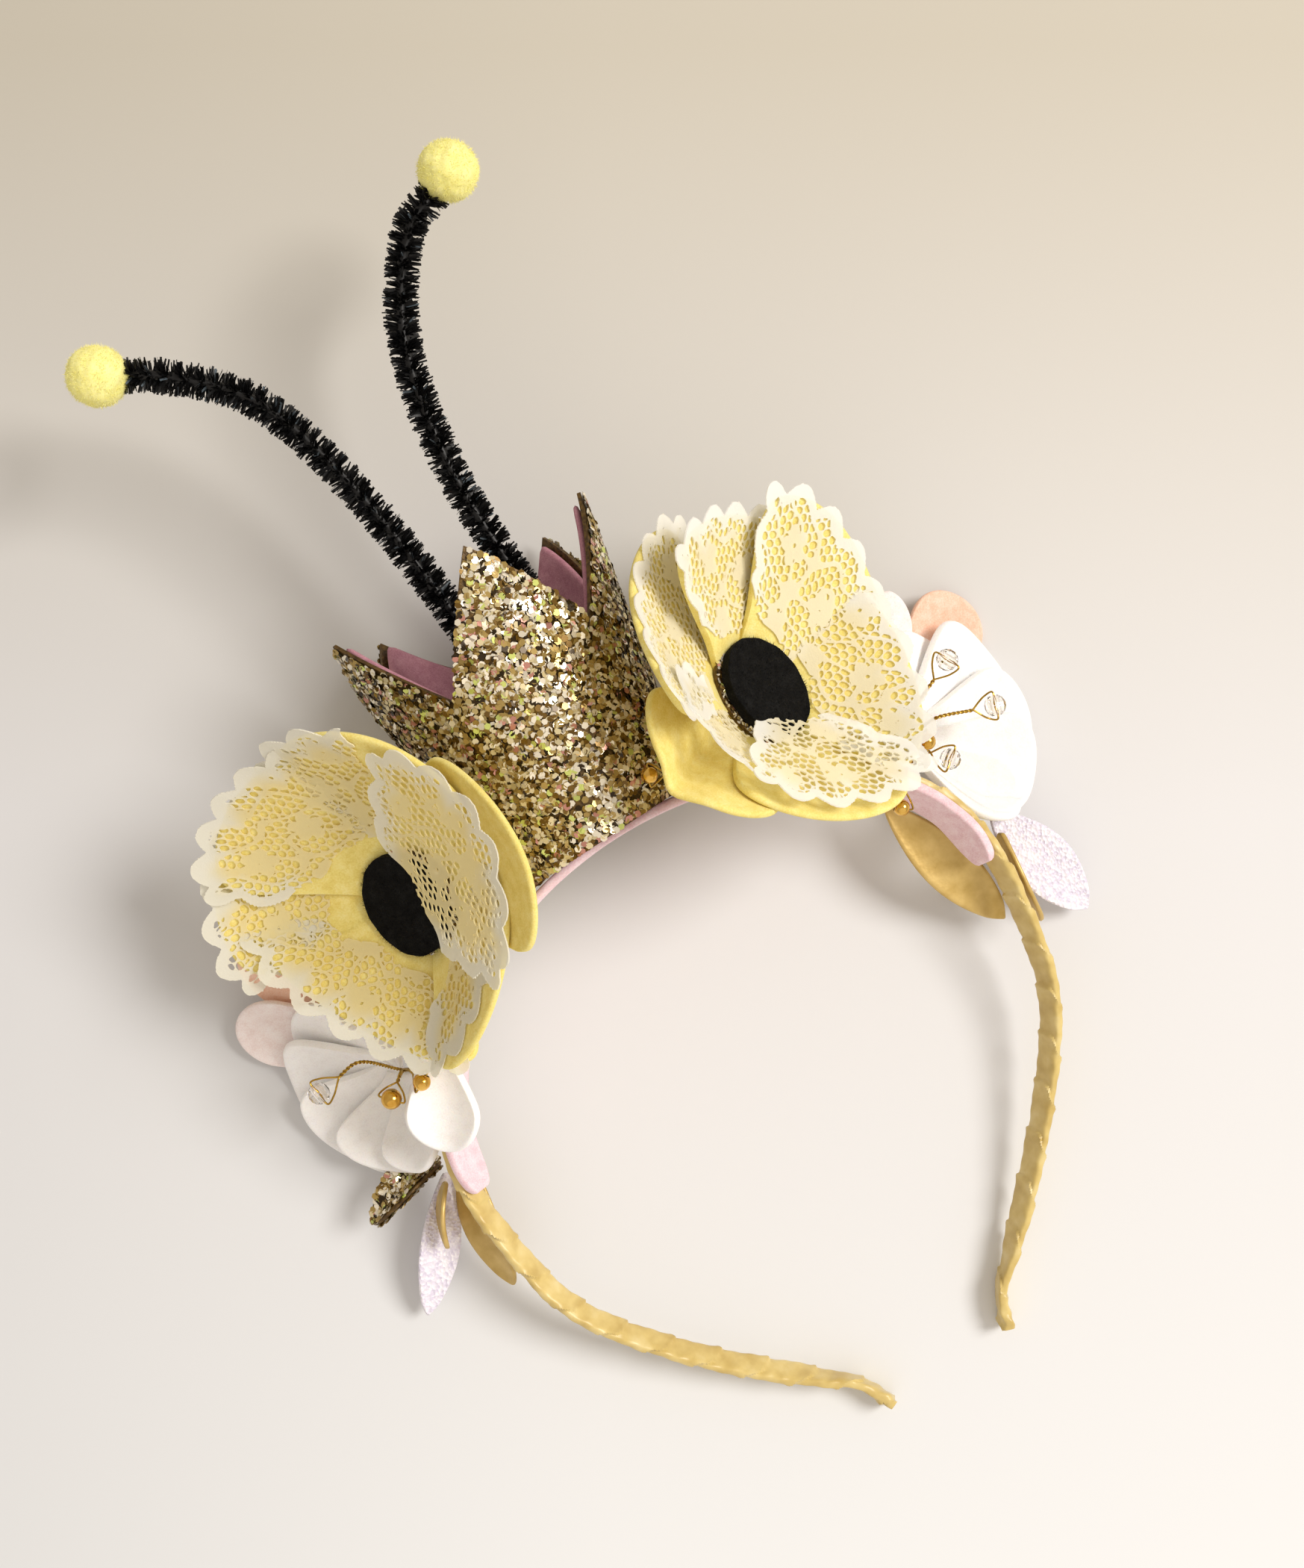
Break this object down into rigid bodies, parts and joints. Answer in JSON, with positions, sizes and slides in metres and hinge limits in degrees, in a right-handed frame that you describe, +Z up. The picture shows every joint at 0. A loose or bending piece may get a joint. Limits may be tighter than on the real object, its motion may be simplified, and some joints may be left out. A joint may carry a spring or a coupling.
{
  "type": "bee headband",
  "caption": "Child's headband with a ribbon-wound arch, a lined glitter crown, chenille antennae with felt balls, lace flowers, felt flowers, beaded stamens and leaves.",
  "frame": {"origin": "on the floor, under the middle of the headband as it lies on its back", "axes": "+Z up from the floor, out of the front of the headband; +Y from the tips of the arch to the antennae"},
  "size_m": [0.181, 0.2706, 0.0773],
  "materials": {
    "satin_ribbon": "woven satin, glossy",
    "pink_felt": "matt felt",
    "glitter_fabric": "chunky gold glitter on cloth",
    "tinsel_chenille": "black tinsel bristles",
    "lemon_felt": "felted wool ball",
    "yellow_felt": "matt felt",
    "cream_lace": "stretch lace net",
    "black_felt": "matt felt",
    "white_felt": "matt felt",
    "peach_felt": "matt felt",
    "pale_pink_felt": "matt felt",
    "white_glitter_fabric": "fine white glitter on cloth",
    "gold_leatherette": "metallic gold face",
    "gold_wire": "twisted craft wire",
    "gold_bead": "polished",
    "clear_crystal": "cut and polished"
  },
  "bodies": {
    "root": {"antenna_ball_left": "lemon_felt", "antenna_ball_right": "lemon_felt", "antenna_stem_left": "tinsel_chenille", "antenna_stem_right": "tinsel_chenille", "crown_glitter": "glitter_fabric", "crown_lining": "pink_felt", "crystal_bead_left_1": "clear_crystal", "crystal_bead_right_1": "clear_crystal", "crystal_bead_right_2": "clear_crystal", "crystal_bead_right_4": "clear_crystal", "disc_left": "black_felt", "disc_right": "black_felt", "disc_rim_left": "glitter_fabric", "disc_rim_right": "glitter_fabric", "felt_base": "pink_felt", "felt_petals_left": "yellow_felt", "felt_petals_right": "yellow_felt", "gold_bead_crown_left_1": "gold_bead", "gold_bead_crown_left_2": "gold_bead", "gold_bead_crown_right_1": "gold_bead", "gold_bead_crown_right_2": "gold_bead", "gold_bead_left_2": "gold_bead", "gold_bead_left_3": "gold_bead", "gold_bead_right_3": "gold_bead", "gold_bead_right_5": "gold_bead", "gold_bead_right_6": "gold_bead", "lace_left_1": "cream_lace", "lace_left_2": "cream_lace", "lace_left_3": "cream_lace", "lace_left_4": "cream_lace", "lace_left_5": "cream_lace", "lace_left_6": "cream_lace", "lace_right_1": "cream_lace", "lace_right_2": "cream_lace", "lace_right_3": "cream_lace", "lace_right_4": "cream_lace", "lace_right_5": "cream_lace", "lace_right_6": "cream_lace", "leaf_curled_left": "gold_leatherette", "leaf_edge_left": "gold_leatherette", "leaf_glitter_left": "glitter_fabric", "leaf_gold_large_right": "gold_leatherette", "leaf_gold_small_right": "gold_leatherette", "leaf_white_left": "white_glitter_fabric", "leaf_white_right": "white_glitter_fabric", "petal_peach_left": "peach_felt", "petal_peach_right": "peach_felt", "petal_pink_left": "pale_pink_felt", "petal_pink_right": "pale_pink_felt", "stamen_wires_crown_left": "gold_wire", "stamen_wires_crown_right": "gold_wire", "stamen_wires_left": "gold_wire", "stamen_wires_right": "gold_wire", "white_flower_left": "white_felt", "white_flower_right": "white_felt", "wrapped_band": "satin_ribbon"}
  },
  "joints": []
}
